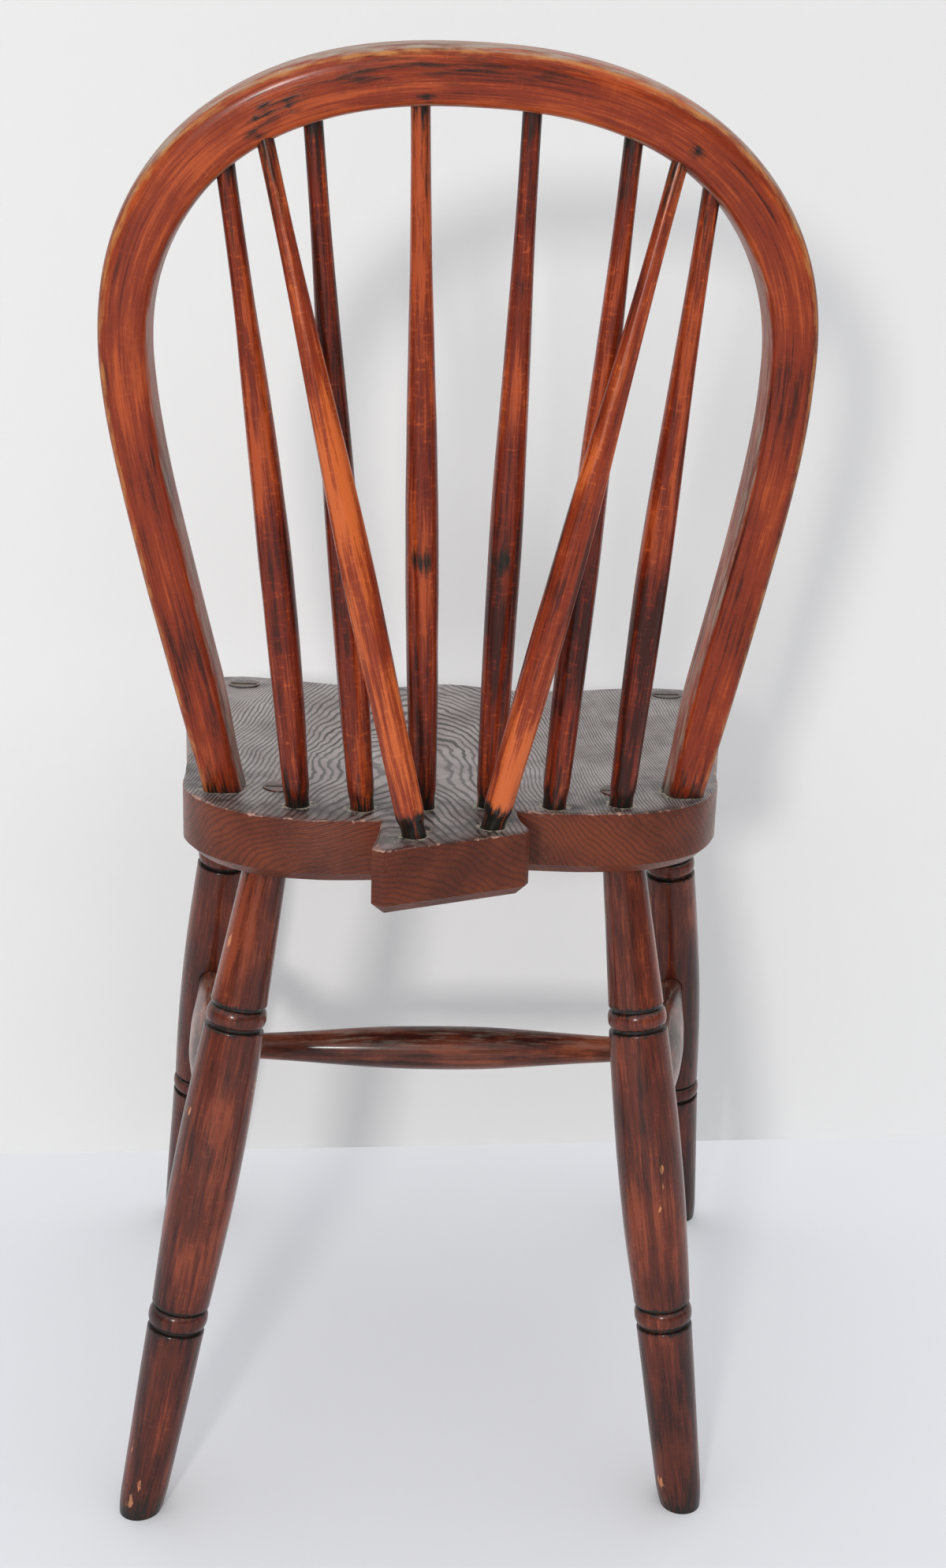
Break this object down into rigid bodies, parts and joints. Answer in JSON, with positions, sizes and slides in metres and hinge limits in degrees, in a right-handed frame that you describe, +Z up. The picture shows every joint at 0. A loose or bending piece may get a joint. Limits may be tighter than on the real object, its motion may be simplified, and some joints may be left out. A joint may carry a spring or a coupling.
{
  "type": "hoop-back side chair",
  "caption": "Wooden side chair with a bent hoop back, turned sticks, two braces from a tail behind the saddled seat, splayed turned legs and an H stretcher.",
  "frame": {"origin": "on the floor, under the middle of the chair's bounding box", "axes": "+Z up, +Y towards the front of the seat, the hoop back towards -Y, +X towards the right seen from behind"},
  "size_m": [0.446, 0.4318, 0.8721],
  "materials": {
    "elm": "stained, satin, dulled by wear",
    "turned_beech": "stained and varnished, satin, worn",
    "bent_ash": "stained and varnished, satin, worn",
    "wedge": "stained, dull"
  },
  "bodies": {
    "root": {"back_spindle_1": "turned_beech", "back_spindle_2": "turned_beech", "back_spindle_3": "turned_beech", "back_spindle_4": "turned_beech", "back_spindle_5": "turned_beech", "back_spindle_6": "turned_beech", "brace_spindle_left": "turned_beech", "brace_spindle_right": "turned_beech", "cross_stretcher": "turned_beech", "hoop": "bent_ash", "leg_front_left": "turned_beech", "leg_front_right": "turned_beech", "leg_rear_left": "turned_beech", "leg_rear_right": "turned_beech", "leg_wedge_front_left": "wedge", "leg_wedge_front_right": "wedge", "leg_wedge_rear_left": "wedge", "leg_wedge_rear_right": "wedge", "seat": "elm", "side_stretcher_left": "turned_beech", "side_stretcher_right": "turned_beech"}
  },
  "joints": []
}
